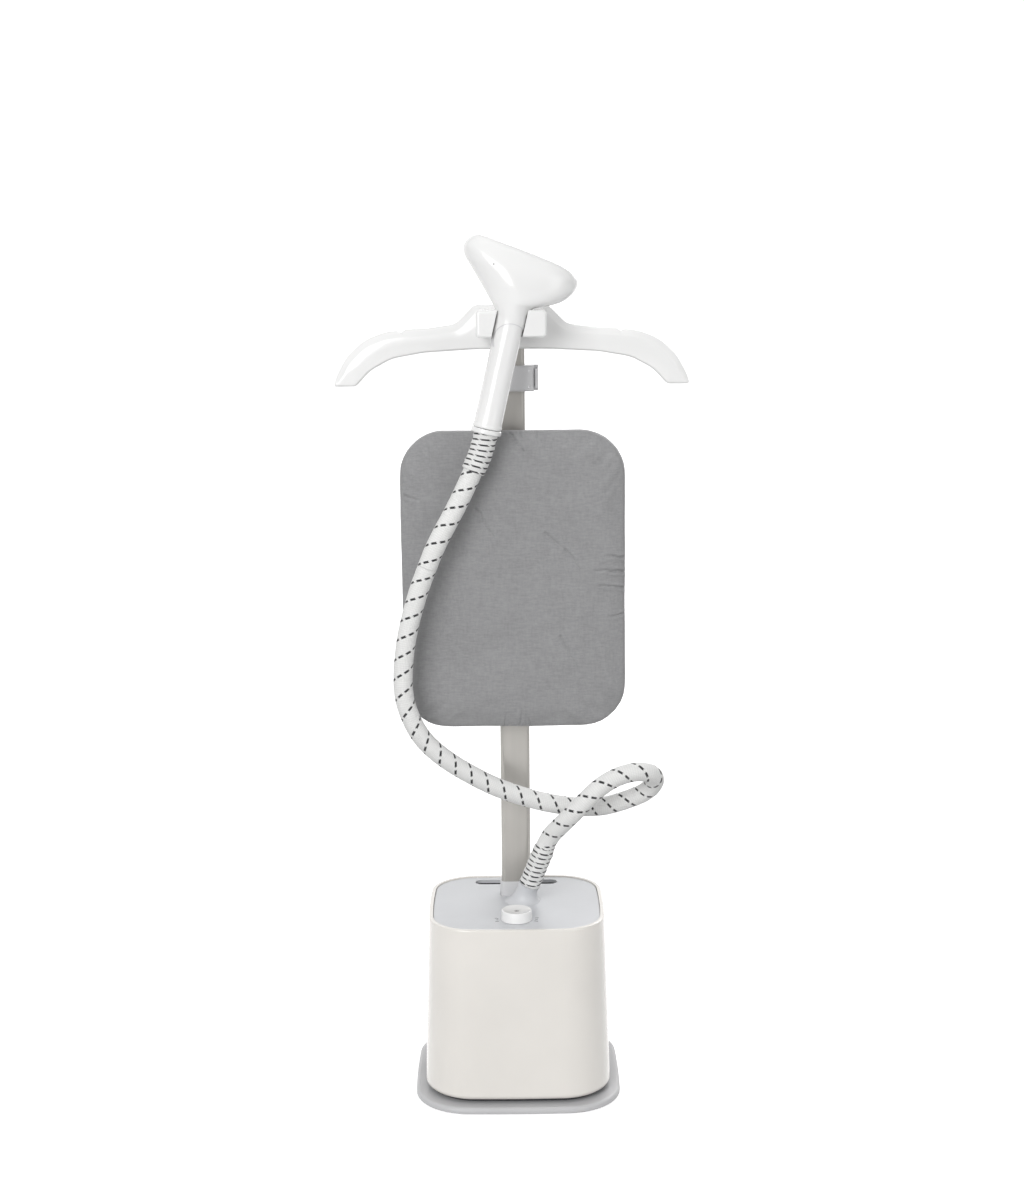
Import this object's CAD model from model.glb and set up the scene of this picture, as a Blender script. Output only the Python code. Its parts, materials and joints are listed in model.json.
"""Upright garment steamer, seen from the front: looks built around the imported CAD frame.

Lengths are metres. +Z is up and the front of the steamer faces -Y.
"""

import json
import math

import bmesh
import bpy
from mathutils import Matrix, Vector, noise


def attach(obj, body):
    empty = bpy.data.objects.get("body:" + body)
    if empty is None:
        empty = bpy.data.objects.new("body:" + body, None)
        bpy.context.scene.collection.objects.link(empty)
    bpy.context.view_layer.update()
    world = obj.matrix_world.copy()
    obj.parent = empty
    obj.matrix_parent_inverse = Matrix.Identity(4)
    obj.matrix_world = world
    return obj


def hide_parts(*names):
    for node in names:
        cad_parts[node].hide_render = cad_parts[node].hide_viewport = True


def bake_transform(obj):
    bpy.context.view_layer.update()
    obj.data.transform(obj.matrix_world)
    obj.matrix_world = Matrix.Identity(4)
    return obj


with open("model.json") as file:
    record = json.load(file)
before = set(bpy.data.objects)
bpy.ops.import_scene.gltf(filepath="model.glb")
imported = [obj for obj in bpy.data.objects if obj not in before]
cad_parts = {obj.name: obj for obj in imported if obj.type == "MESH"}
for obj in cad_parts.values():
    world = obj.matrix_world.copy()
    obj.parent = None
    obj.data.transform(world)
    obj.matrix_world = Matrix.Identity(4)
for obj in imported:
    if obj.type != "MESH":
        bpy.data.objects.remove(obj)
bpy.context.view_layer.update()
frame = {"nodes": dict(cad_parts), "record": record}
nodes = frame["nodes"]
MM = 0.001


# ---------------------------------------------------------------- camera
CAMERA_PLACE = (-0.002, -2.35, 1.06)
CAMERA_LENS = 57.5
SENSOR_HEIGHT = 36.0
LOOK_DOWN = math.radians(9.85)
ROLL = math.radians(-0.545)


def make_camera():
    """A long lens a little above the hanger, looking down and slightly rolled."""
    data = bpy.data.cameras.new("camera")
    data.sensor_fit = "VERTICAL"
    data.sensor_height = SENSOR_HEIGHT
    data.lens = CAMERA_LENS
    camera = bpy.data.objects.new("camera", data)
    bpy.context.scene.collection.objects.link(camera)
    turn = (Matrix.Rotation(math.radians(90) - LOOK_DOWN, 4, "X")
            @ Matrix.Rotation(ROLL, 4, "Z"))
    camera.matrix_world = Matrix.Translation(CAMERA_PLACE) @ turn
    bpy.context.scene.camera = camera


make_camera()


# ---------------------------------------------------------------- node material helper
MIX_FACTOR, MIX_A, MIX_B = 0, 6, 7    # the colour sockets of a Mix node


class Shader:
    """Builds one node material: a Principled shader, and short calls that add nodes."""

    def __init__(self, name, roughness, **plain):
        self.material = bpy.data.materials.new(name)
        self.material.use_nodes = True
        self.tree = self.material.node_tree
        self.principled = self.tree.nodes["Principled BSDF"]
        self.principled.inputs["Roughness"].default_value = roughness
        for socket, value in plain.items():
            self.principled.inputs[socket.replace("_", " ")].default_value = value

    def add(self, kind, inputs=None, **settings):
        node = self.tree.nodes.new(kind)
        for key, value in settings.items():
            setattr(node, key, value)
        for key, value in (inputs or {}).items():
            self.set(node, key, value)
        return node

    def set(self, node, key, value):
        socket = node.inputs[key]
        if isinstance(value, bpy.types.NodeSocket):
            self.tree.links.new(value, socket)
        else:
            socket.default_value = value

    def place(self):
        """Position on the object in metres, the same at every pose."""
        return self.add("ShaderNodeTexCoord").outputs["Object"]

    def attribute(self, name):
        return self.add("ShaderNodeAttribute", attribute_name=name).outputs["Fac"]

    def math(self, operation, a, b=0.0, c=0.0):
        return self.add("ShaderNodeMath", {0: a, 1: b, 2: c}, operation=operation).outputs[0]

    def noise(self, scale, detail=2.0, roughness=0.5, stretch=None):
        vector = self.place()
        if stretch:
            vector = self.add("ShaderNodeMapping", {"Vector": vector, "Scale": stretch}).outputs[0]
        return self.add("ShaderNodeTexNoise", {"Vector": vector, "Scale": scale, "Detail": detail,
                                               "Roughness": roughness}).outputs["Fac"]

    def fit(self, value, low, high, out_low, out_high):
        sockets = {"Value": value, "From Min": low, "From Max": high,
                   "To Min": out_low, "To Max": out_high}
        return self.add("ShaderNodeMapRange", sockets).outputs["Result"]

    def mix(self, factor, a, b):
        node = self.add("ShaderNodeMix", data_type="RGBA")
        for key, value in ((MIX_FACTOR, factor), (MIX_A, a), (MIX_B, b)):
            self.set(node, key, value)
        return node.outputs[2]

    def tones(self, factor, colour, at_zero, at_one):
        """The colour, scaled by one number where the factor is 0 and by another where it is 1."""
        return self.mix(factor, shade(colour, at_zero), shade(colour, at_one))

    def bump(self, height, strength, distance):
        """Adds relief on top of any relief set before."""
        node = self.add("ShaderNodeBump",
                        {"Height": height, "Strength": strength, "Distance": distance})
        previous = self.principled.inputs["Normal"]
        if previous.is_linked:
            self.tree.links.new(previous.links[0].from_socket, node.inputs["Normal"])
        self.tree.links.new(node.outputs["Normal"], previous)

    def colour(self, value):
        self.set(self.principled, "Base Color", value)

    def roughness(self, value):
        self.set(self.principled, "Roughness", value)


def shade(value, factor):
    return tuple(channel * factor for channel in value[:3]) + (1.0,)


def moulded_plastic(name, colour, roughness, grain=0.15, coat=0.0):
    """Injection-moulded plastic: cloudy tone, smeared gloss and a faint mould texture."""
    shader = Shader(name, roughness, Coat_Weight=coat, Coat_Roughness=0.08)
    clouds = shader.noise(9.0, 4.0)
    shader.colour(shader.tones(shader.fit(clouds, 0.35, 0.65, 0.0, 1.0), colour, 0.975, 1.015))
    smears = shader.noise(22.0, 5.0, roughness=0.65)
    shader.roughness(shader.fit(smears, 0.3, 0.7, roughness * 0.85, roughness * 1.2))
    shader.bump(shader.noise(900.0, 1.0), grain, 0.0002)
    return shader.material


def painted_tube(name, colour):
    """Satin paint on drawn tube: long soft streaks and a fine orange peel."""
    shader = Shader(name, 0.36, Metallic=0.35, Coat_Weight=0.2, Coat_Roughness=0.25)
    streaks = shader.noise(70.0, 3.0, stretch=(1.0, 1.0, 0.03))
    shader.colour(shader.tones(shader.fit(streaks, 0.3, 0.7, 0.0, 1.0), colour, 0.95, 1.04))
    shader.roughness(shader.fit(shader.noise(35.0, 4.0), 0.3, 0.7, 0.30, 0.42))
    shader.bump(shader.noise(1100.0, 1.0), 0.12, 0.0002)
    return shader.material


def bare_metal(name, colour, roughness, brushed=(1.0, 1.0, 0.08)):
    """Bare metal with fine lines along the axis whose stretch is small."""
    shader = Shader(name, roughness, Metallic=1.0)
    lines = shader.noise(600.0, 2.0, stretch=brushed)
    shader.colour(shader.tones(lines, colour, 0.85, 1.05))
    shader.roughness(shader.fit(lines, 0.3, 0.7, roughness * 0.75, roughness * 1.3))
    shader.bump(lines, 0.2, 0.0001)
    return shader.material


def soft_rubber(name, colour):
    """Matt rubber with a little dust."""
    shader = Shader(name, 0.72)
    dust = shader.noise(60.0, 5.0, roughness=0.7)
    shader.colour(shader.tones(shader.fit(dust, 0.45, 0.75, 0.0, 1.0), colour, 1.0, 2.2))
    shader.bump(shader.noise(1500.0, 2.0), 0.3, 0.0002)
    return shader.material


def silicone(name, colour):
    """Soft pipe that lets a little light in."""
    shader = Shader(name, 0.4, Subsurface_Weight=0.3, Subsurface_Scale=0.003)
    shader.colour(shader.tones(shader.noise(40.0, 3.0), colour, 0.93, 1.05))
    shader.bump(shader.noise(500.0, 1.0), 0.1, 0.0002)
    return shader.material


def smoky_plastic(name, colour):
    """Frosted tank plastic, tinted, with a little light inside it."""
    shader = Shader(name, 0.28, Subsurface_Weight=0.25, Subsurface_Scale=0.004)
    shader.colour(shader.tones(shader.noise(14.0, 3.0), colour, 0.9, 1.05))
    shader.roughness(shader.fit(shader.noise(45.0, 4.0), 0.3, 0.7, 0.25, 0.34))
    shader.bump(shader.noise(240.0, 2.0), 0.1, 0.0002)
    return shader.material


def brushed_felt(name, colour):
    """Brushed grey cover: short fibres lying mostly across, soft blotches and a light nap."""
    shader = Shader(name, 0.93, Sheen_Weight=0.35, Sheen_Roughness=0.45)
    blotches = shader.noise(28.0, 5.0, roughness=0.6)
    brushed = shader.noise(330.0, 3.0, roughness=0.65, stretch=(0.35, 1.0, 1.6))
    crossed = shader.noise(260.0, 3.0, roughness=0.65, stretch=(1.5, 1.0, 0.45))
    nap = shader.math("MULTIPLY_ADD", brushed, 0.6, shader.math("MULTIPLY", crossed, 0.4))
    tone = shader.tones(shader.fit(blotches, 0.3, 0.7, 0.0, 1.0), colour, 0.90, 1.10)
    fibre = shader.tones(shader.fit(nap, 0.35, 0.65, 0.0, 1.0), colour, 0.80, 1.24)
    shader.colour(shader.mix(0.5, tone, fibre))
    shader.bump(nap, 0.5, 0.0006)
    shader.bump(shader.noise(2200.0, 2.0), 0.3, 0.0003)
    return shader.material


HOSE_WHITE = (0.86, 0.86, 0.85, 1.0)
FLECK_BLACK = (0.018, 0.018, 0.02, 1.0)
FLECK_ROWS = 2.0
ROW_STAGGER = 0.14      # how far the second row's flecks are shifted, in flecks
STRANDS = 18.0          # woven strands round the hose


def braided_sleeve(name, row_pitch, flecks, fleck_length, fleck_width, weave_pitch):
    """White braid with short black flecks in helical rows.

    Pitches and the fleck's width are in millimetres, its length is a share of its step, and
    flecks is their number in one turn. The mesh carries its own place on the hose: along, in
    millimetres, and the sine and cosine of the angle round it."""
    shader = Shader(name, 0.72, Sheen_Weight=0.25, Sheen_Roughness=0.4)
    along = shader.attribute("along")
    angle = shader.math("ARCTAN2", shader.attribute("round_sin"), shader.attribute("round_cos"))
    turns = shader.math("DIVIDE", angle, 2 * math.pi)
    pitches = shader.math("DIVIDE", along, row_pitch)
    row = shader.math("MULTIPLY", shader.math("SUBTRACT", pitches, turns), FLECK_ROWS)
    from_row = shader.math("SUBTRACT", shader.math("FRACT", row), 0.5)
    side = shader.math("GREATER_THAN", from_row, 0.0)
    off_row = shader.math("MULTIPLY", shader.math("ABSOLUTE", from_row), row_pitch / FLECK_ROWS)
    step = shader.math("MULTIPLY_ADD", side, ROW_STAGGER, shader.math("MULTIPLY", turns, flecks))
    step_place = shader.math("SUBTRACT", shader.math("FRACT", step), 0.5)
    from_fleck = shader.math("ABSOLUTE", step_place)
    in_row = shader.fit(off_row, fleck_width * 0.42, fleck_width * 0.62, 1.0, 0.0)
    in_fleck = shader.fit(from_fleck, fleck_length * 0.46, fleck_length * 0.56, 1.0, 0.0)
    fleck = shader.math("MULTIPLY", in_row, in_fleck)
    ridges = []
    for direction in ("ADD", "SUBTRACT"):
        strand = shader.math(direction, shader.math("DIVIDE", along, weave_pitch),
                             shader.math("MULTIPLY", turns, STRANDS))
        ridges.append(shader.math("SINE", shader.math("MULTIPLY", strand, 2 * math.pi)))
    weave = shader.math("MULTIPLY", *ridges)
    soiled = shader.tones(shader.fit(weave, -1.0, 1.0, 0.0, 1.0), HOSE_WHITE, 0.88, 1.03)
    mottling = shader.fit(shader.noise(180.0, 4.0), 0.35, 0.7, 0.0, 0.5)
    mottled = shader.mix(mottling, soiled, shade(HOSE_WHITE, 0.9))
    shader.colour(shader.mix(fleck, mottled, FLECK_BLACK))
    shader.bump(weave, 0.45, 0.0004)
    shader.bump(shader.noise(1800.0, 2.0), 0.35, 0.0002)
    return shader.material


# ---------------------------------------------------------------- mesh helpers
def link_mesh(name, mesh):
    piece = bpy.data.objects.new(name, mesh)
    bpy.context.scene.collection.objects.link(piece)
    return piece


def link_solid(name, builder):
    """Links finished bmesh work as an object whose normals face outward."""
    bmesh.ops.recalc_face_normals(builder, faces=builder.faces)
    mesh = bpy.data.meshes.new(name)
    builder.to_mesh(mesh)
    builder.free()
    return link_mesh(name, mesh)


def skin(builder, rings):
    """Quads between neighbouring closed rings, which all have the same number of vertices."""
    count = len(rings[0])
    for ring, following in zip(rings, rings[1:]):
        for step in range(count):
            nxt = (step + 1) % count
            builder.faces.new((ring[step], ring[nxt], following[nxt], following[step]))


def smooth(mesh):
    mesh.polygons.foreach_set("use_smooth", [True] * len(mesh.polygons))


def spline_points(route, per_span):
    """Points along a smooth NURBS line whose control points are the route."""
    curve = bpy.data.curves.new("route", "CURVE")
    curve.dimensions = "3D"
    curve.resolution_u = per_span
    spline = curve.splines.new("NURBS")
    spline.points.add(len(route) - 1)
    for point, place in zip(spline.points, route):
        point.co = (*place, 1.0)
    spline.order_u = 3
    spline.use_endpoint_u = True
    holder = bpy.data.objects.new("route", curve)
    bpy.context.scene.collection.objects.link(holder)
    evaluated = holder.evaluated_get(bpy.context.evaluated_depsgraph_get())
    line = bpy.data.meshes.new_from_object(evaluated)
    points = [vertex.co.copy() for vertex in line.vertices]
    bpy.data.meshes.remove(line)
    bpy.data.objects.remove(holder)
    bpy.data.curves.remove(curve)
    return points


def resample(points, step):
    """The same line with its points evenly spaced by about step."""
    lengths = [0.0]
    for a, b in zip(points, points[1:]):
        lengths.append(lengths[-1] + (b - a).length)
    count = max(2, round(lengths[-1] / step))
    even, span = [], 0
    for index in range(count + 1):
        target = lengths[-1] * index / count
        while span < len(points) - 2 and lengths[span + 1] < target:
            span += 1
        part = (target - lengths[span]) / max(lengths[span + 1] - lengths[span], 1e-9)
        even.append(points[span].lerp(points[span + 1], min(max(part, 0.0), 1.0)))
    return even


def frames_along(points):
    """Tangent, side and up at each point, carried along the line without twist."""
    frames = []
    side = None
    for index, point in enumerate(points):
        ahead = points[min(index + 1, len(points) - 1)]
        behind = points[max(index - 1, 0)]
        tangent = (ahead - behind).normalized()
        if side is None:
            side = tangent.cross(Vector((0, 1, 0))).normalized()
        side = (side - tangent * side.dot(tangent)).normalized()
        frames.append((tangent, side, tangent.cross(side)))
    return frames


def tube_mesh(name, points, frames, radius_at, start_mm, around=48):
    """A closed tube round a line. radius_at(distance, angle) is in metres; start_mm is where along
    the whole hose the line begins."""
    builder = bmesh.new()
    layers = [builder.verts.layers.float.new(key) for key in ("along", "round_cos", "round_sin")]
    rings = []
    distance = 0.0
    for index, (point, (_, side, up)) in enumerate(zip(points, frames)):
        if index:
            distance += (point - points[index - 1]).length
        ring = []
        for step in range(around):
            angle = 2 * math.pi * step / around
            outward = side * math.cos(angle) + up * math.sin(angle)
            vertex = builder.verts.new(point + outward * radius_at(distance, angle))
            values = (start_mm + distance / MM, math.cos(angle), math.sin(angle))
            for layer, value in zip(layers, values):
                vertex[layer] = value
            ring.append(vertex)
        rings.append(ring)
    skin(builder, rings)
    builder.faces.new(list(reversed(rings[0])))
    builder.faces.new(rings[-1])
    tube = link_solid(name, builder)
    smooth(tube.data)
    return tube


def lathe(name, origin, axis, profile, around=96):
    """A closed turned piece: profile lists (distance along the axis, radius) from end to end."""
    side = axis.cross(Vector((0, 1, 0))).normalized()
    up = axis.cross(side)
    builder = bmesh.new()
    rings = []
    for along, radius in profile:
        ring = []
        for step in range(around):
            angle = 2 * math.pi * step / around
            outward = side * math.cos(angle) + up * math.sin(angle)
            ring.append(builder.verts.new(origin + axis * along + outward * radius))
        rings.append(ring)
    skin(builder, rings)
    builder.faces.new(rings[0])
    builder.faces.new(rings[-1])
    turned = link_solid(name, builder)
    smooth(turned.data)
    return turned


def prism(name, outline, place, depth):
    """An outline of (x, y) points extruded by depth along the local Z of a placing matrix."""
    builder = bmesh.new()
    low, high = ([builder.verts.new(place @ Vector((x, y, level))) for x, y in outline]
                 for level in (0, depth))
    builder.faces.new(low)
    builder.faces.new(high)
    skin(builder, (low, high))
    return link_solid(name, builder)


def apply_modifiers(piece):
    """Bakes a piece's modifiers into its mesh."""
    evaluated = piece.evaluated_get(bpy.context.evaluated_depsgraph_get())
    mesh = bpy.data.meshes.new_from_object(evaluated)
    old = piece.data
    piece.modifiers.clear()
    piece.data = mesh
    mesh.name = piece.name
    bpy.data.meshes.remove(old)


def carve(piece, cutter):
    """Cuts one solid out of another; the cutter is used up."""
    step = piece.modifiers.new("carve", "BOOLEAN")
    step.object = cutter
    step.operation = "DIFFERENCE"
    step.solver = "EXACT"
    apply_modifiers(piece)
    old = cutter.data
    bpy.data.objects.remove(cutter)
    bpy.data.meshes.remove(old)


def round_corners(corners, steps=8):
    """Points round a closed outline of (x, y, corner radius)."""
    outline = []
    for index, (x, y, radius) in enumerate(corners):
        here = Vector((x, y))
        before = Vector(corners[index - 1][:2]) - here
        after = Vector(corners[(index + 1) % len(corners)][:2]) - here
        half = before.angle(after) / 2
        reach = min(radius / math.tan(half), 0.49 * before.length, 0.49 * after.length)
        if reach < 1e-6:
            outline.append(here)
            continue
        radius = reach * math.tan(half)
        before.normalize()
        after.normalize()
        middle = here + (before + after).normalized() * (radius / math.sin(half))
        start_arm = (here + before * reach - middle).normalized()
        end_arm = (here + after * reach - middle).normalized()
        for step in range(steps + 1):
            outline.append(middle + start_arm.slerp(end_arm, step / steps) * radius)
    return outline


def set_sharp(mesh, degrees):
    """Smooth shading with edges over an angle left crisp."""
    smooth(mesh)
    mesh.set_sharp_from_angle(angle=math.radians(degrees))


# ---------------------------------------------------------------- the steam hose
HOSE_RADIUS = 0.012
HOSE_SPLIT_Z = 0.688
HOSE_ROUTE = [
    (-0.0323, -0.0400, 0.8532), (-0.0373, -0.0400, 0.8317), (-0.0482, -0.0413, 0.8082),
    (-0.0667, -0.0435, 0.7683), (-0.0960, -0.0500, 0.7160), (-0.1070, -0.0500, 0.6880),
    (-0.1180, -0.0500, 0.6600), (-0.1320, -0.0500, 0.6120), (-0.1390, -0.0500, 0.5680),
    (-0.1400, -0.0500, 0.5260), (-0.1295, -0.0485, 0.4920), (-0.1140, -0.0445, 0.4650),
    (-0.0900, -0.0400, 0.4420), (-0.0610, -0.0330, 0.4210), (-0.0250, -0.0240, 0.3990),
    (0.0120, -0.0150, 0.3830), (0.0480, -0.0060, 0.3710), (0.0820, 0.0010, 0.3645),
    (0.1100, 0.0060, 0.3630), (0.1310, 0.0075, 0.3675), (0.1495, 0.0085, 0.3735),
    (0.1660, 0.0090, 0.3800), (0.1780, 0.0035, 0.3915), (0.1805, -0.0070, 0.4050),
    (0.1725, -0.0190, 0.4150), (0.1575, -0.0270, 0.4190), (0.1405, -0.0310, 0.4175),
    (0.1230, -0.0350, 0.4115), (0.1070, -0.0380, 0.4020), (0.0910, -0.0390, 0.3870),
    (0.0750, -0.0370, 0.3690), (0.0590, -0.0270, 0.3500), (0.0434, -0.0117, 0.3296),
    (0.0329, -0.0057, 0.3022), (0.0175, 0.0031, 0.2612),
]
SPAN_STEPS = 24             # curve points for each span of the route
HOSE_STEP = 0.0016          # metres between the rings of its mesh
RIDGE_PITCH = 0.0042        # metres along the hose for one radian of the woven ridges
RIDGE_COUNT = 9
RIDGE_HEIGHT = 0.00012
CUFFS = (  # name, body, node it stands for, length, radius, length of its taper
    ("hose_upper_cuff", "handset", "hose_cuff_upper", 0.050, 0.0148, 0.0016),
    ("hose_lower_cuff", "base", "hose_cuff_lower", 0.064, 0.0136, 0.012),
)
CUFF_AROUND = 64
WRINKLE_PITCH, WRINKLE_HEIGHT = 0.00076, 0.00028
RIPPLE_PITCH, RIPPLE_HEIGHT = 0.0019, 0.00035


def line_length(points):
    return sum((b - a).length for a, b in zip(points, points[1:]))


def split_at_height(points, height):
    """Where a line that first comes down from the top passes a height."""
    for index, point in enumerate(points):
        if point.z <= height:
            return index
    return len(points) - 1


def braid_radius(distance, angle):
    """The woven sleeve stands a little proud along two families of crossing ridges."""
    along, round_it = distance / RIDGE_PITCH, RIDGE_COUNT * angle
    return HOSE_RADIUS + RIDGE_HEIGHT * (math.sin(along + round_it) * math.sin(along - round_it))


def make_hose(sleeve):
    """Two lengths that meet at the board's edge, so that the upper one can follow the handset."""
    line = resample(spline_points(HOSE_ROUTE, SPAN_STEPS), HOSE_STEP)
    frames = frames_along(line)
    split = split_at_height(line, HOSE_SPLIT_Z)
    upper_line, lower_line = line[:split + 1], line[split:]
    upper_length, lower_length = line_length(upper_line), line_length(lower_line)
    upper = tube_mesh("hose_upper_braid", upper_line, frames[:split + 1], braid_radius, 0.0)
    lower = tube_mesh("hose_lower_braid", lower_line, frames[split:], braid_radius,
                      upper_length / MM)
    for piece, node in ((upper, "hose_upper"), (lower, "hose_lower")):
        piece.data.materials.append(sleeve)
        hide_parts(node)
    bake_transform(upper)
    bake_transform(lower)
    return line, frames


def wrinkled(base, taper, length):
    """A radius for tube_mesh: sleeve bunched in fine wrinkles, tapering over its last stretch."""
    def radius(distance, angle):
        slant = math.sin(angle * 2 + distance * 260)
        wrinkle = math.sin(distance / WRINKLE_PITCH + 0.8 * slant)
        ripple = math.sin(distance / RIPPLE_PITCH + 1.1 * math.sin(angle * 3))
        end_lip = min(1.0, max(0.0, length - distance) / taper)
        start_lip = min(1.0, 0.55 + distance / 0.004)
        body = base * (0.86 + 0.14 * end_lip) * start_lip ** 0.1
        return body + WRINKLE_HEIGHT * wrinkle + RIPPLE_HEIGHT * ripple
    return radius


def make_cuffs(line, frames, bunched):
    """The sleeve pushed together where the hose meets the handset and the lid."""
    step = line_length(line) / (len(line) - 1)
    backward = [(-tangent, side, -up) for tangent, side, up in reversed(frames)]
    ends = ((line, frames), (line[::-1], backward))
    for (name, body, node, length, radius, taper), (points, turned) in zip(CUFFS, ends):
        count = round(length / step) + 1
        cuff = tube_mesh(name, points[:count], turned[:count], wrinkled(radius, taper, length),
                         0.0, CUFF_AROUND)
        cuff.data.materials.append(bunched)
        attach(cuff, body)
        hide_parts(node)


sleeve = braided_sleeve("hose_sleeve", row_pitch=49.0, flecks=8.0, fleck_length=0.62,
                        fleck_width=3.3, weave_pitch=5.5)
bunched = braided_sleeve("bunched_sleeve", row_pitch=14.0, flecks=6.0, fleck_length=0.76,
                         fleck_width=2.0, weave_pitch=2.2)
hose_line, hose_frames = make_hose(sleeve)
make_cuffs(hose_line, hose_frames, bunched)


# ---------------------------------------------------------------- materials of the CAD nodes
WHITE = (0.89, 0.89, 0.885)
CREAM = (0.82, 0.79, 0.745)
LID_GREY = (0.62, 0.63, 0.65)
TRAY_GREY = (0.56, 0.56, 0.57)
POLE_GREY = (0.43, 0.415, 0.39)
BRACKET_GREY = (0.66, 0.66, 0.67)
DARK = (0.045, 0.045, 0.05)
FELT = (0.295, 0.295, 0.30)

finishes = {
    "white_gloss": moulded_plastic("white_gloss", WHITE, 0.20, coat=0.5),
    "cream_gloss": moulded_plastic("cream_gloss", CREAM, 0.20, coat=0.5),
    "lid_grey": moulded_plastic("lid_grey", LID_GREY, 0.34),
    "tray_grey": moulded_plastic("tray_grey", TRAY_GREY, 0.38),
    "pole_metal": painted_tube("pole_metal", POLE_GREY),
    "bracket_grey": moulded_plastic("bracket_grey", BRACKET_GREY, 0.38),
    "board_fabric": brushed_felt("board_fabric", FELT),
    "board_core": moulded_plastic("board_core", (0.16, 0.16, 0.165), 0.6, grain=0.4),
    "black_rubber": soft_rubber("black_rubber", (0.03, 0.03, 0.03)),
    "dark_plastic": moulded_plastic("dark_plastic", DARK, 0.45, grain=0.3),
    "steel": bare_metal("steel", (0.62, 0.62, 0.63), 0.3),
    "boiler_metal": bare_metal("boiler_metal", (0.70, 0.70, 0.71), 0.38, brushed=(0.08, 1.0, 1.0)),
    "pipe_silicone": silicone("pipe_silicone", (0.72, 0.70, 0.66)),
    "tank_clear": smoky_plastic("tank_clear", (0.50, 0.55, 0.60)),
    "hose_braid": sleeve,
}
for subpart in frame["record"]["subparts"]:
    mesh = nodes[subpart["node"]].data
    mesh.materials.clear()
    mesh.materials.append(finishes[subpart["material_slot"]])


# ---------------------------------------------------------------- steam handset
HANDLE_FOOT = Vector((-0.031, -0.040, 0.859))
HANDLE_LEAN = math.radians(13)
HANDLE_AXIS = Vector((math.sin(HANDLE_LEAN), 0, math.cos(HANDLE_LEAN)))
HANDLE_PROFILE = [  # distance from the foot, radius
    (0.0006, 0.0140), (0.0006, 0.0170), (0.0010, 0.0178), (0.0018, 0.0182), (0.0032, 0.0183),
    (0.0044, 0.0181), (0.0054, 0.0175), (0.0062, 0.0173), (0.0300, 0.0172), (0.0700, 0.0171),
    (0.1100, 0.0172), (0.1400, 0.0172),
]
SEAM_PROFILE = [(0.100, 0.0150), (0.100, 0.0176), (0.138, 0.0176), (0.138, 0.0150)]
PINHOLE_X, PINHOLE_Z, PINHOLE_RADIUS = -0.0201, 1.0581, 0.0009


def make_handle():
    """The handle tube, with a rolled lip at its foot and its top hidden in the neck."""
    handle = lathe("handset_handle_tube", HANDLE_FOOT, HANDLE_AXIS, HANDLE_PROFILE)
    set_sharp(handle.data, 50)
    handle.data.materials.append(finishes["white_gloss"])
    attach(handle, "handset")
    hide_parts("handset_handle")


HEAD_SLICES = [  # mm: left (x, z), right (x, z), front y, rear y, squareness, ridge height, place
    (-24.3, 968.3, 10.9, 960.1, -58.1, -21.9, 2.00, 0.0, 0.00),
    (-20.7, 983.9, 14.5, 975.7, -58.1, -21.9, 2.00, 0.0, 0.00),
    (-19.0, 993.0, 17.0, 985.6, -58.3, -21.6, 2.00, 0.0, 0.00),
    (-18.4, 1001.0, 20.0, 997.0, -59.0, -20.5, 2.05, 0.3, 0.00),
    (-20.8, 1008.0, 28.0, 1004.2, -59.8, -17.0, 2.10, 0.9, -0.04),
    (-26.0, 1017.0, 44.0, 1007.0, -60.8, -10.0, 2.15, 1.8, -0.12),
    (-32.5, 1028.5, 60.0, 1011.0, -61.6, 0.0, 2.20, 2.6, -0.20),
    (-40.0, 1041.5, 72.5, 1018.0, -62.0, 12.0, 2.30, 3.0, -0.28),
    (-47.5, 1054.5, 80.0, 1027.5, -61.4, 20.0, 2.40, 2.8, -0.36),
    (-54.0, 1065.5, 81.5, 1036.5, -59.8, 20.0, 2.50, 2.2, -0.42),
    (-57.2, 1075.0, 77.8, 1045.0, -57.4, 14.0, 2.50, 1.5, -0.44),
    (-55.6, 1083.5, 70.8, 1051.8, -54.6, 5.0, 2.50, 0.8, -0.44),
    (-49.6, 1089.8, 62.0, 1056.8, -51.4, -4.0, 2.50, 0.3, -0.44),
    (-43.0, 1092.8, 54.0, 1060.4, -48.2, -14.0, 2.40, 0.0, -0.44),
    (-36.5, 1093.2, 47.0, 1063.4, -45.2, -23.0, 2.30, 0.0, -0.44),
]
HEAD_AROUND = 144
HEAD_STEPS = 8              # rings made for each row of the table
RIDGE_WIDTH = 0.42          # share of the head's half width
REAR_BLEND = 6.0            # mm squared: how softly the head meets its rear plane
CAP_SCALES = ((0.7, 0.7), (0.35, 0.95))     # each inner ring's size and share of the cap's rise
TOP_CAP_RISE = 0.0012
ARCH_START = Vector((-0.0015, -0.075, 0.9660))
ARCH_AXIS = Vector((0, 1, 0.0001)).normalized()
ARCH_DEPTH = 0.090
ARCH_RADIUS = 0.0212
SEAM_ARCH_RADIUS = 0.0203
REAR_LOW_Y, REAR_LOW_Z = 2.0, 1040.0        # mm: two places on the head's slanted rear plane
REAR_HIGH_Y, REAR_HIGH_Z = -30.0, 1098.0
PLATE_SLOPE = Vector((0, REAR_LOW_Y - REAR_HIGH_Y, REAR_LOW_Z - REAR_HIGH_Z)).normalized()
PLATE_TILT = math.radians(17)
RECESS_CENTRE = Vector((0.010, -0.00455, 1.0519))
RECESS_SINK, RECESS_CUT = 0.0032, 0.020
RECESS_HALF_WIDTH, RECESS_HALF_HEIGHT, RECESS_CORNER = 0.0461, 0.0186, 0.0136


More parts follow.
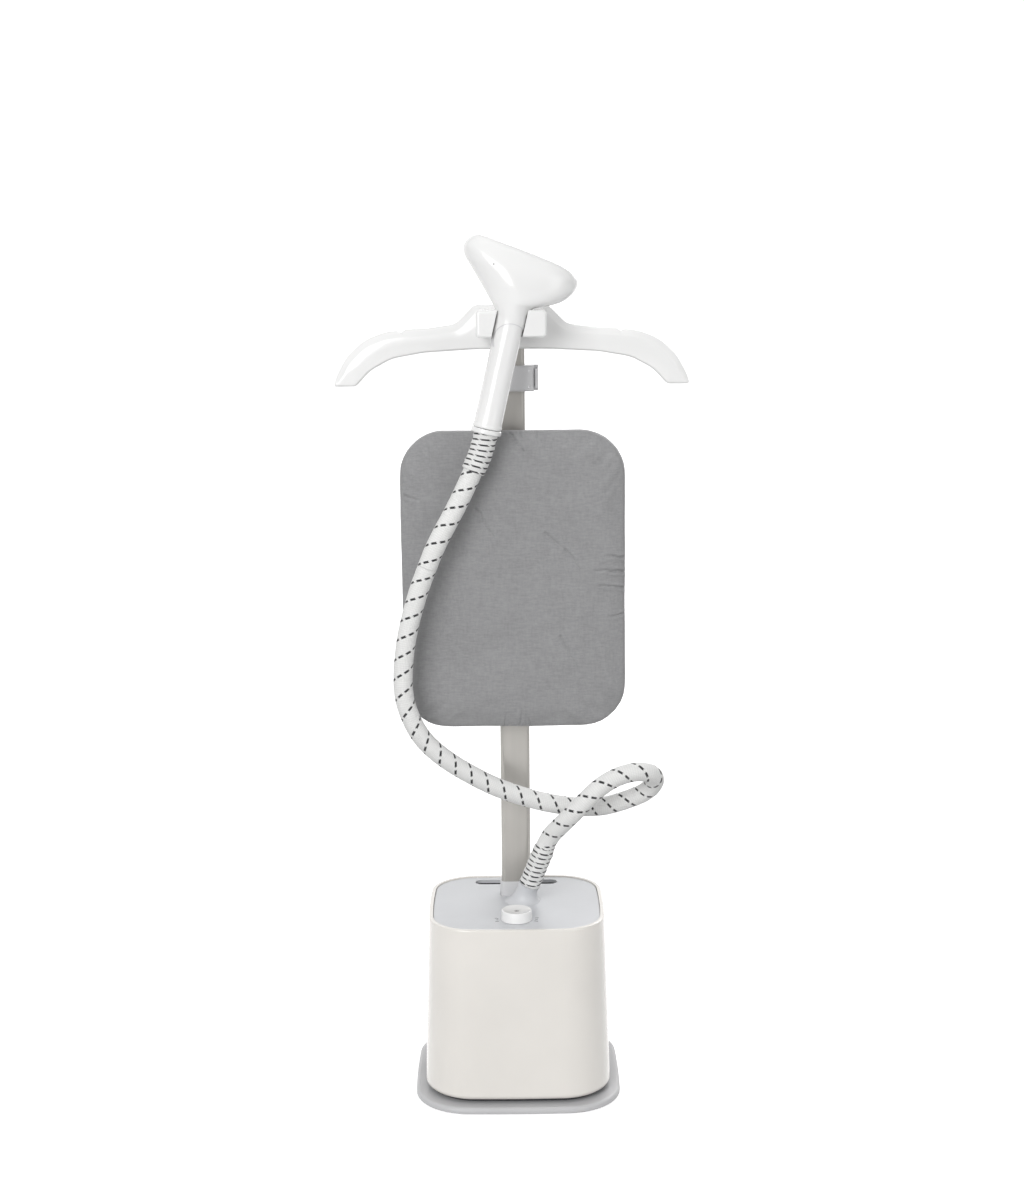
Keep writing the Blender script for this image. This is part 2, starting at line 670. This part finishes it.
def between(rows, index, part):
    """A smooth blend of neighbouring rows of numbers (Catmull-Rom)."""
    a, b, c, d = (rows[min(max(index + shift, 0), len(rows) - 1)] for shift in (-1, 0, 1, 2))
    return [0.5 * (2 * q + (r - p) * part + (2 * p - 5 * q + 4 * r - t) * part ** 2
                   + (3 * q - p - 3 * r + t) * part ** 3) for p, q, r, t in zip(a, b, c, d)]


def plate_plane_y(z):
    """The slanted rear plane that the steam plate lies in, in millimetres."""
    return REAR_LOW_Y - (z - REAR_LOW_Z) * (REAR_LOW_Y - REAR_HIGH_Y) / (REAR_HIGH_Z - REAR_LOW_Z)


def head_ring(row, around):
    """One superelliptic slice of the head, ridged in front and kept before its rear plane."""
    left_x, left_z, right_x, right_z, front, rear, square, ridge, ridge_place = row
    ring = []
    for step in range(around):
        turn = 2 * math.pi * step / around
        across = math.copysign(abs(math.cos(turn)) ** (2 / square), math.cos(turn))
        deep = math.copysign(abs(math.sin(turn)) ** (2 / square), math.sin(turn))
        x = (left_x + right_x) / 2 + across * (right_x - left_x) / 2
        z = (left_z + right_z) / 2 + across * (right_z - left_z) / 2
        y = (front + rear) / 2 + deep * (rear - front) / 2
        if deep < 0:
            y -= ridge * math.exp(-((across - ridge_place) / RIDGE_WIDTH) ** 2) * -deep
        limit = plate_plane_y(z)
        y = 0.5 * (y + limit - math.sqrt((y - limit) ** 2 + REAR_BLEND))
        ring.append(Vector((x, y, z)) * MM)
    return ring


def cap(builder, ring, rise):
    """Closes a ring with shrinking rings and a point in the middle."""
    middle = sum((vertex.co for vertex in ring), Vector()) / len(ring)
    rings = [ring]
    for scale, share in CAP_SCALES:
        lift = Vector((0, 0, rise * share))
        rings.append([builder.verts.new(middle.lerp(vertex.co, scale) + lift) for vertex in ring])
    skin(builder, rings)
    tip = builder.verts.new(middle + Vector((0, 0, rise)))
    last = rings[-1]
    for step in range(len(last)):
        builder.faces.new((last[step], last[(step + 1) % len(last)], tip))


def make_arch(piece, radius):
    """Cuts the foot of the neck to an arch, seen from the front."""
    carve(piece, lathe("arch", ARCH_START, ARCH_AXIS, [(0.0, radius), (ARCH_DEPTH, radius)],
                       around=160))


def make_recess(head):
    """Sinks the place of the steam plate into the head's rear."""
    across = Vector((math.cos(PLATE_TILT), 0, 0)) + PLATE_SLOPE * math.sin(PLATE_TILT)
    outward = Vector((0, -PLATE_SLOPE.z, PLATE_SLOPE.y))
    place = Matrix((across, outward.cross(across), outward)).transposed().to_4x4()
    place.translation = RECESS_CENTRE - outward * RECESS_SINK
    recess = round_corners([(x * RECESS_HALF_WIDTH, y * RECESS_HALF_HEIGHT, RECESS_CORNER)
                            for x, y in ((-1, -1), (1, -1), (1, 1), (-1, 1))])
    carve(head, prism("recess", recess, place, RECESS_CUT))


def make_head():
    """The head flares out of the neck, which ends in an arch over the handle."""
    builder = bmesh.new()
    slices = [between(HEAD_SLICES, index, step / HEAD_STEPS)
              for index in range(len(HEAD_SLICES) - 1) for step in range(HEAD_STEPS)]
    rings = [[builder.verts.new(place) for place in head_ring(row, HEAD_AROUND)]
             for row in slices + [HEAD_SLICES[-1]]]
    skin(builder, rings)
    cap(builder, rings[0], 0.0)
    cap(builder, rings[-1], TOP_CAP_RISE)
    head = link_solid("handset_head", builder)
    make_arch(head, ARCH_RADIUS)
    make_recess(head)
    set_sharp(head.data, 35)
    head.data.materials.append(finishes["white_gloss"])
    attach(head, "handset")
    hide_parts("head_shell")
    return head


def make_neck_seam():
    """The shadow gap under the neck's arch: a thin grey sleeve between the neck and the handle."""
    seam = lathe("handset_neck_seam", HANDLE_FOOT, HANDLE_AXIS, SEAM_PROFILE)
    make_arch(seam, SEAM_ARCH_RADIUS)
    set_sharp(seam.data, 35)
    seam.data.materials.append(finishes["bracket_grey"])
    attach(seam, "handset")


def surface_point(piece, x, z):
    """Where a line from the front first meets a piece, and the normal there."""
    inverse = piece.matrix_world.inverted()
    start = inverse @ Vector((x, -0.3, z))
    ahead = (inverse.to_3x3() @ Vector((0, 1, 0))).normalized()
    _, place, normal, _ = piece.ray_cast(start, ahead)
    return piece.matrix_world @ place, (piece.matrix_world.to_3x3() @ normal).normalized()


def make_pinhole(head):
    """A tiny dark hole in the head's front."""
    place, normal = surface_point(head, PINHOLE_X, PINHOLE_Z)
    profile = [(0.0, PINHOLE_RADIUS), (0.0007, PINHOLE_RADIUS), (0.0008, PINHOLE_RADIUS * 0.7)]
    dot = lathe("head_pinhole", place - normal * 0.0006, normal, profile, around=24)
    dot.data.materials.append(finishes["dark_plastic"])
    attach(dot, "handset")


# ---------------------------------------------------------------- garment hanger
HANGER_TOP = [  # x, z, corner radius, from the middle to the tip
    (0.0, 1.0075, 0.0), (0.0470, 1.0075, 0.012), (0.0700, 0.9840, 0.020), (0.1050, 0.9790, 0.05),
    (0.1335, 0.9778, 0.0015), (0.1385, 0.9738, 0.0008), (0.1430, 0.9766, 0.0015),
    (0.1600, 0.9745, 0.06), (0.1860, 0.9650, 0.06), (0.2080, 0.9440, 0.05),
    (0.2210, 0.9200, 0.05), (0.2245, 0.9075, 0.0025),
]
HANGER_BOTTOM = [  # the same from the tip back to the middle
    (0.1960, 0.9075, 0.008), (0.1780, 0.9270, 0.05), (0.1500, 0.9420, 0.05),
    (0.1100, 0.9490, 0.09), (0.0500, 0.9525, 0.1), (0.0, 0.9530, 0.0),
]
HANGER_FRONT_Y, HANGER_SPLIT_Y, HANGER_REAR_Y = 0.027, 0.038, 0.049
NOTCH_START, NOTCH_END = 0.1335, 0.1430     # x of the strap notch
NOTCH_Z = 0.9778                            # top edge where the notch starts
NOTCH_FALL = 0.126                          # slope of the edge across the notch
NOTCH_LOWEST_Z = 0.96                       # the notch is above this height
OUTLINE_STEP = 0.0016
BEVEL_SHAPE = [(0.0, 1.0), (0.03, 0.82), (0.09, 0.70), (0.20, 0.60), (0.50, 0.36), (0.80, 0.12),
               (0.92, 0.035), (1.0, 0.0)]   # share of the bevel's width, share of its depth
BEVEL_SIZE = 0.0024                         # width and depth along the bottom
TOP_WIDER, TOP_DEEPER = 0.0070, 0.0050      # added to them along the top
SPLIT_GAP = 0.0001
SPLIT_LIP = 0.0006
SPLIT_INSET = 0.0003


def hanger_outline():
    """The closed front view, starting at the middle of the top and going right."""
    right = HANGER_TOP + HANGER_BOTTOM
    left = [(-x, z, radius) for x, z, radius in reversed(right[1:-1])]
    return round_corners(right + left, steps=5)


def even_outline(outline, step):
    """A closed outline with its points evenly spaced."""
    closed = [Vector((p.x, p.y, 0)) for p in outline + outline[:1]]
    return [Vector((p.x, p.y)) for p in resample(closed, step)[:-1]]


def outline_normals(outline):
    """Outward unit normals of a closed clockwise outline, smoothed."""
    normals = []
    for index in range(len(outline)):
        along = (outline[(index + 1) % len(outline)] - outline[index - 1]).normalized()
        normals.append(Vector((-along.y, along.x)))
    for _ in range(4):
        following = normals[1:] + normals[:1]
        normals = [(normals[index - 1] + normal * 2 + following[index]).normalized()
                   for index, normal in enumerate(normals)]
    return normals


def bridged(point):
    """The same point with the strap notch filled in, for the inner edge of the bevel."""
    x = abs(point.x)
    if point.y < NOTCH_LOWEST_Z or not NOTCH_START < x < NOTCH_END:
        return point.copy()
    return Vector((point.x, max(point.y, NOTCH_Z - (x - NOTCH_START) * NOTCH_FALL)))


def bevel_ring(builder, edges, inset, depth, face_y, away):
    """One ring of the bevel. Each edge gives an outline point, its bridged one and its normal."""
    ring = []
    for point, filled, normal in edges:
        lift = min(1.0, max(0.0, (normal.y + 0.1) / 0.8))
        lift = lift * lift * (3 - 2 * lift)
        width = BEVEL_SIZE + TOP_WIDER * lift
        back = (BEVEL_SIZE + TOP_DEEPER * lift) * depth
        start = point.lerp(filled, min(1.0, inset * 1.6))
        ring.append(builder.verts.new((start.x - normal.x * width * inset, face_y + away * back,
                                       start.y - normal.y * width * inset)))
    return ring


def make_hanger_half(name, node, face_y, outline):
    """One moulded half: a flat face, a wide bevel along the top and a small one below."""
    away = 1 if HANGER_SPLIT_Y > face_y else -1
    flat = [bridged(point) for point in outline]
    normals = outline_normals(flat)
    builder = bmesh.new()
    rings = [[builder.verts.new((p.x - n.x * SPLIT_INSET, HANGER_SPLIT_Y - away * SPLIT_GAP,
                                 p.y - n.y * SPLIT_INSET)) for p, n in zip(outline, normals)],
             [builder.verts.new((p.x, HANGER_SPLIT_Y - away * SPLIT_LIP, p.y)) for p in outline]]
    edges = list(zip(outline, flat, normals))
    for inset, depth in BEVEL_SHAPE:
        rings.append(bevel_ring(builder, edges, inset, depth, face_y, away))
    skin(builder, rings)
    bmesh.ops.triangulate(builder, faces=[builder.faces.new(rings[-1])])
    bmesh.ops.triangulate(builder, faces=[builder.faces.new(rings[0])])
    half = link_solid(name, builder)
    set_sharp(half.data, 40)
    half.data.materials.append(finishes["white_gloss"])
    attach(half, "mast")
    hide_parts(node)


def make_hanger():
    outline = even_outline(hanger_outline(), OUTLINE_STEP)
    make_hanger_half("hanger_front_shell", "hanger_front", HANGER_FRONT_Y, outline)
    make_hanger_half("hanger_rear_shell", "hanger_rear", HANGER_REAR_Y, outline)


# ---------------------------------------------------------------- padded board cover
BOARD_CENTRE_Z = 0.663
CREASE_TABLE = [  # (x, z) of the start and the end from the board's middle, half width, depth
    ((-0.004, 0.187), (0.013, 0.166), 0.0026, 0.0022),
    ((0.009, 0.189), (0.020, 0.176), 0.0024, 0.0020),
    ((0.029, 0.188), (0.034, 0.176), 0.0022, 0.0016),
    ((0.013, 0.166), (0.015, 0.160), 0.0022, 0.0014),
    ((0.140, 0.030), (0.116, 0.032), 0.0026, 0.0024),
    ((0.141, 0.011), (0.104, 0.014), 0.0028, 0.0028),
    ((0.141, -0.010), (0.110, -0.006), 0.0026, 0.0024),
    ((0.140, -0.043), (0.120, -0.046), 0.0026, 0.0020),
    ((0.040, 0.063), (0.066, 0.040), 0.0022, 0.0016),
    ((0.066, 0.040), (0.084, 0.018), 0.0020, 0.0013),
    ((-0.046, 0.092), (-0.022, 0.052), 0.0024, 0.0014),
    ((0.058, -0.070), (0.084, -0.118), 0.0024, 0.0012),
    ((-0.014, -0.188), (-0.008, -0.170), 0.0022, 0.0016),
    ((0.006, -0.188), (0.010, -0.164), 0.0024, 0.0018),
    ((0.020, -0.187), (0.014, -0.168), 0.0022, 0.0014),
    ((-0.136, 0.110), (-0.118, 0.104), 0.0026, 0.0016),
]
CREASES = [(Vector(start), Vector(end), *size) for start, end, *size in CREASE_TABLE]
VOXEL_SIZE = 0.004
TUCKED_FROM_Y = 0.0065      # the cover is held behind this plane
CREASED_TO_Y = 0.006        # creases lie before this plane
PUFF_FRAMES = 20
PUFF_LIMIT = 0.0035         # farthest that the pressure may move a point
SIDEWAYS_SHARE = 0.35       # share of that move kept across the board
WOBBLE = 0.0022             # how far a crease strays from its straight line


def distance_to_segment(point, start, end):
    """How far a point is from a segment, and what share of the segment lies before that place."""
    run = end - start
    part = min(1.0, max(0.0, (point - start).dot(run) / run.length_squared))
    return (point - start - run * part).length, part


def pressed(source):
    """Coordinates of a cover after cloth pressure has puffed it, held where it is tucked in."""
    mesh = source.data
    group = source.vertex_groups.new(name="tucked")
    for vertex in mesh.vertices:
        if vertex.co.y > TUCKED_FROM_Y:
            group.add([vertex.index], 1.0, "REPLACE")
    cloth = source.modifiers.new("cloth", "CLOTH")
    cloth.settings.quality = 5
    cloth.settings.mass = 0.2
    cloth.settings.tension_stiffness = 12
    cloth.settings.compression_stiffness = 8
    cloth.settings.bending_stiffness = 0.4
    cloth.settings.use_pressure = True
    cloth.settings.uniform_pressure_force = 4
    cloth.settings.vertex_group_mass = "tucked"
    cloth.settings.effector_weights.gravity = 0
    cloth.point_cache.frame_start = 1
    cloth.point_cache.frame_end = PUFF_FRAMES
    scene = bpy.context.scene
    for frame_number in range(1, PUFF_FRAMES + 1):
        scene.frame_set(frame_number)
    evaluated = source.evaluated_get(bpy.context.evaluated_depsgraph_get())
    puffed = [vertex.co.copy() for vertex in evaluated.data.vertices]
    source.modifiers.clear()
    scene.frame_set(1)
    return puffed


def noise_at(flat, along, across, layer):
    """Smooth noise on the board's front, between -1 and 1."""
    return noise.noise(Vector((flat.x * along, flat.y * across, layer)))


def crease_height(flat, facing):
    """Height that the creases give a place on the board; facing is 1 on its flat front."""
    place = flat + Vector((noise_at(flat, 90, 90, 0.3), noise_at(flat, 90, 90, 7.3))) * WOBBLE
    height = 0.0
    for start, end, width, depth in CREASES:
        away, part = distance_to_segment(place, start, end)
        if away > 4 * width:
            continue
        fade = 0.35 + 0.65 * (1 - part)
        valley = -depth * math.exp(-(away / (0.55 * width)) ** 2)
        ridge = 0.45 * depth * math.exp(-((away - 1.35 * width) / (0.7 * width)) ** 2)
        height += (valley + ridge) * fade * min(1.0, max(0.0, 1.3 * facing))
    return height


def make_board_cover():
    """The padded cover: evened out, puffed by cloth pressure, then swollen and creased."""
    node = nodes["board_pad"]
    mesh = node.data.copy()
    mesh.transform(node.matrix_world)
    mesh.materials.clear()
    cover = link_mesh("board_cover", mesh)
    remesh = cover.modifiers.new("remesh", "REMESH")
    remesh.mode = "VOXEL"
    remesh.voxel_size = VOXEL_SIZE
    even = cover.modifiers.new("even", "SMOOTH")
    even.factor = 0.5
    even.iterations = 6
    apply_modifiers(cover)
    for vertex, place in zip(cover.data.vertices, pressed(cover)):
        move = place - vertex.co
        move *= min(1.0, PUFF_LIMIT / max(move.length, 1e-9))
        vertex.co += Vector((SIDEWAYS_SHARE * move.x, move.y, SIDEWAYS_SHARE * move.z))
    cover.vertex_groups.clear()
    finer = cover.modifiers.new("finer", "SUBSURF")
    finer.levels = finer.render_levels = 2
    apply_modifiers(cover)
    normals = [vertex.normal.copy() for vertex in cover.data.vertices]
    for vertex, normal in zip(cover.data.vertices, normals):
        flat = Vector((vertex.co.x, vertex.co.z - BOARD_CENTRE_Z))
        swell = 0.0006 * noise_at(flat, 16, 11, 1.7) + 0.00035 * noise_at(flat, 45, 38, 5.1)
        if vertex.co.y < CREASED_TO_Y:
            swell += crease_height(flat, -normal.y)
        vertex.co += normal * swell
    smooth(cover.data)
    cover.data.materials.append(finishes["board_fabric"])
    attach(cover, "carriage")
    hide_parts("board_pad")


# ---------------------------------------------------------------- knob marks
KNOB_CENTRE = Vector((0.0, -0.063, 0.0))
MARKS = ((82, 0.0050), (95, 0.0034), (108, 0.0050))     # turn from the rear in degrees, length
MARK_FROM_CENTRE = 0.0235
MARK_HALF_WIDTH = 0.00045
MARK_HEIGHT = 0.00028
LID_TOP_Z = 0.2364


def make_knob_marks():
    """Raised marks on the lid at both ends of the knob's turn: three ticks on each side."""
    for side, side_name in ((-1, "left"), (1, "right")):
        for index, (turn, length) in enumerate(MARKS):
            angle = math.radians(turn)
            outward = Vector((side * math.sin(angle), math.cos(angle), 0))
            start = KNOB_CENTRE + outward * MARK_FROM_CENTRE
            end = start + outward * length
            across = Vector((-outward.y, outward.x, 0)) * MARK_HALF_WIDTH
            corners = (start + across, end + across, end - across, start - across)
            outline = round_corners([(p.x, p.y, 0.0004) for p in corners], steps=4)
            mark = prism(f"knob_mark_{side_name}_{index + 1}", outline,
                         Matrix.Translation((0, 0, LID_TOP_Z)), MARK_HEIGHT)
            mark.data.materials.append(finishes["dark_plastic"])
            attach(mark, "base")


make_handle()
head = make_head()
make_neck_seam()
make_pinhole(head)
make_hanger()
make_board_cover()
make_knob_marks()


# ---------------------------------------------------------------- floor and light
SWEEP_HALF_WIDTH = 7.0
SWEEP_FRONT, SWEEP_BACK = -9.0, 1.5
SWEEP_RADIUS, SWEEP_TOP = 0.9, 3.2
SWEEP_STEPS = 16
SKY = (("From Min", -0.7), ("From Max", 0.6), ("To Min", 0.32), ("To Max", 0.60))
LIGHTS = (  # name, place, target, width, height, watts
    ("key", (-1.2, -2.7, 1.6), (0, 0, 0.65), 1.6, 1.6, 48),
    ("fill", (1.9, -1.9, 1.3), (0, 0, 0.6), 1.2, 1.8, 9),
    ("top", (0, -0.3, 2.9), (0, 0, 0.4), 1.2, 1.2, 2.5),
    ("rear", (0.9, 2.0, 2.0), (0, 0, 0.7), 1.4, 1.4, 20),
)


def make_studio():
    """A glowing white sweep: a floor that curves up behind the steamer."""
    profile = [(SWEEP_FRONT, 0.0)]
    for step in range(SWEEP_STEPS + 1):
        angle = math.radians(90) * step / SWEEP_STEPS
        profile.append((SWEEP_BACK + SWEEP_RADIUS * math.sin(angle),
                        SWEEP_RADIUS * (1 - math.cos(angle))))
    profile.append((SWEEP_BACK + SWEEP_RADIUS, SWEEP_TOP))
    builder = bmesh.new()
    left, right = ([builder.verts.new((x, y, z)) for y, z in profile]
                   for x in (-SWEEP_HALF_WIDTH, SWEEP_HALF_WIDTH))
    for index in range(len(profile) - 1):
        builder.faces.new((left[index], right[index], right[index + 1], left[index + 1]))
    mesh = bpy.data.meshes.new("sweep")
    builder.to_mesh(mesh)
    builder.free()
    smooth(mesh)
    sweep = link_mesh("sweep", mesh)
    paper = Shader("paper", 0.95, Emission_Color=(1.0, 1.0, 1.0, 1.0), Emission_Strength=0.66)
    paper.colour(paper.mix(paper.noise(1.5, 2.0), (0.84, 0.84, 0.84, 1.0),
                           (0.86, 0.86, 0.86, 1.0)))
    mesh.materials.append(paper.material)
    sweep.visible_diffuse = False


def area_light(name, place, target, width, height, power):
    """A rectangular light that faces its target and is hidden from the camera."""
    data = bpy.data.lights.new(name, "AREA")
    data.shape = "RECTANGLE"
    data.size, data.size_y = width, height
    data.energy = power
    light = bpy.data.objects.new(name, data)
    light.visible_camera = False
    bpy.context.scene.collection.objects.link(light)
    turn = (Vector(target) - Vector(place)).to_track_quat("-Z", "Y")
    light.matrix_world = Matrix.Translation(place) @ turn.to_matrix().to_4x4()


def make_sky():
    """An even white sky, brighter above than below."""
    world = bpy.data.worlds.new("studio")
    bpy.context.scene.world = world
    world.use_nodes = True
    tree = world.node_tree
    direction = tree.nodes.new("ShaderNodeTexCoord")
    split = tree.nodes.new("ShaderNodeSeparateXYZ")
    tree.links.new(direction.outputs["Generated"], split.inputs[0])
    ramp = tree.nodes.new("ShaderNodeMapRange")
    tree.links.new(split.outputs["Z"], ramp.inputs["Value"])
    for socket, value in SKY:
        ramp.inputs[socket].default_value = value
    background = tree.nodes["Background"]
    background.inputs["Color"].default_value = (1.0, 1.0, 1.0, 1.0)
    tree.links.new(ramp.outputs["Result"], background.inputs["Strength"])


make_studio()
make_sky()
for light_row in LIGHTS:
    area_light(*light_row)
bpy.context.scene.view_settings.view_transform = "Standard"
